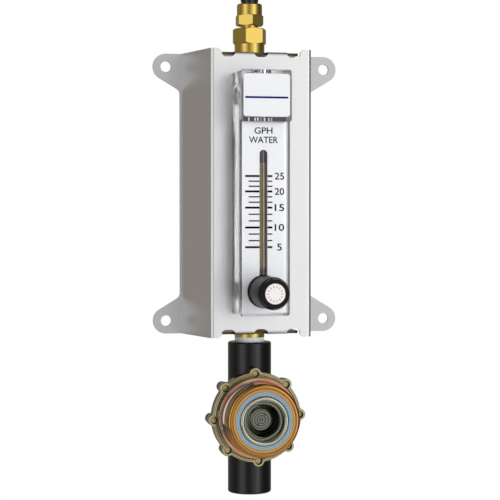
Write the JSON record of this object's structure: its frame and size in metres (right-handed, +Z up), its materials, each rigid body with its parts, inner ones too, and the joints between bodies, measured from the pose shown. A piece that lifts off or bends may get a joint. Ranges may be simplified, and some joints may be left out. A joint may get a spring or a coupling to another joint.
{
  "type": "flow meter panel",
  "caption": "Wall-hung folded bracket with a clear variable-area water flow meter and needle valve, push-in tube outlet above and diaphragm pressure regulator below.",
  "frame": {"origin": "middle of the four ear holes, on the wall face of the bracket", "axes": "X to the right seen from the room, +Y into the wall, +Z up along the pipe"},
  "size_m": [0.146, 0.1124, 0.3763],
  "materials": {
    "stainless": "brushed, slightly warm grey",
    "clear_acrylic": "clear polished acrylic",
    "white_plate": "white printed plate",
    "black_rubber": "matt black rubber",
    "amber_tube": "amber tinted clear tube",
    "float_steel": "turned steel",
    "grey_plastic": "dark grey plastic",
    "brass": "turned brass",
    "black_plastic": "satin black plastic",
    "cap_white": "white cap with red marks",
    "spring_steel": "spring wire",
    "yellow_zinc": "iridescent yellow passivated zinc",
    "dark_steel": "turned dark steel",
    "blue_label": "light blue ring label",
    "white_tape": "white thread seal tape"
  },
  "bodies": {
    "panel": {"mounting_bracket": "stainless", "meter_body": "clear_acrylic", "scale_plate": "white_plate", "header_label": "white_plate", "scale_retainer": "black_rubber", "metering_tube": "amber_tube", "upper_float_stop": "grey_plastic", "upper_stop_seal": "black_rubber", "lower_float_stop": "grey_plastic", "tube_seal": "black_rubber", "end_plug": "brass", "end_plug_seal": "black_rubber", "valve_gland": "brass", "upper_elbow": "brass", "lower_elbow": "brass", "upper_panel_washer": "stainless", "lower_panel_washer": "stainless", "upper_panel_nut": "brass", "lower_panel_nut": "brass", "shelf_coupling": "brass", "tube_fitting_body": "brass", "grab_ring": "spring_steel", "outlet_tube_seal": "black_rubber", "lower_nipple": "brass", "thread_tape": "white_tape", "regulator_body": "black_plastic", "valve_seat": "brass", "poppet_spring": "spring_steel", "diaphragm": "black_rubber", "range_spring": "spring_steel", "bonnet": "yellow_zinc", "ring_label": "blue_label", "flange_screws": "yellow_zinc"},
    "float": {"flow_float": "float_steel"},
    "valve_carrier": {"stem_seal": "black_rubber"},
    "valve_knob": {"valve_stem": "float_steel", "knob": "black_plastic", "knob_screw": "float_steel", "knob_cap": "cap_white"},
    "collet_body": {"collet": "black_plastic"},
    "adjuster_carrier": {"thrust_washer": "spring_steel"},
    "adjuster": {"pressure_adjuster": "dark_steel"},
    "poppet_group": {"poppet": "brass", "diaphragm_plate": "spring_steel"}
  },
  "joints": [
    {"name": "float_rise", "type": "slide", "parent": "panel", "child": "float", "axis": [0, 0, 1], "range_m": [0, 0.0774]},
    {"name": "valve_travel", "type": "slide", "parent": "panel", "child": "valve_carrier", "axis": [0, -1, 0], "range_m": [0, 0.00397]},
    {"name": "valve_turn", "type": "hinge", "parent": "valve_carrier", "child": "valve_knob", "pos_m": [-0.0034, -0.076, -0.0725], "axis": [0, -1, 0], "range_deg": [0, 1800]},
    {"name": "collet_release", "type": "slide", "parent": "panel", "child": "collet_body", "axis": [0, 0, -1], "range_m": [0, 0.0015], "stiffness_N_per_m": 200},
    {"name": "adjuster_travel", "type": "slide", "parent": "panel", "child": "adjuster_carrier", "axis": [0, 1, 0], "range_m": [-0.0015, 0.003], "deforming": ["range_spring"]},
    {"name": "adjuster_turn", "type": "hinge", "parent": "adjuster_carrier", "child": "adjuster", "pos_m": [-0.0034, -0.07, -0.168], "axis": [0, 1, 0], "range_deg": [-360, 720]},
    {"name": "poppet_close", "type": "slide", "parent": "panel", "child": "poppet_group", "axis": [0, -1, 0], "range_m": [0, 0.00145], "deforming": ["poppet_spring", "diaphragm"]}
  ],
  "couplings": [
    {"joint": "valve_travel", "follows": "valve_turn", "m_per_rad": 0.00012633},
    {"joint": "adjuster_travel", "follows": "adjuster_turn", "m_per_rad": 0.00023873}
  ]
}
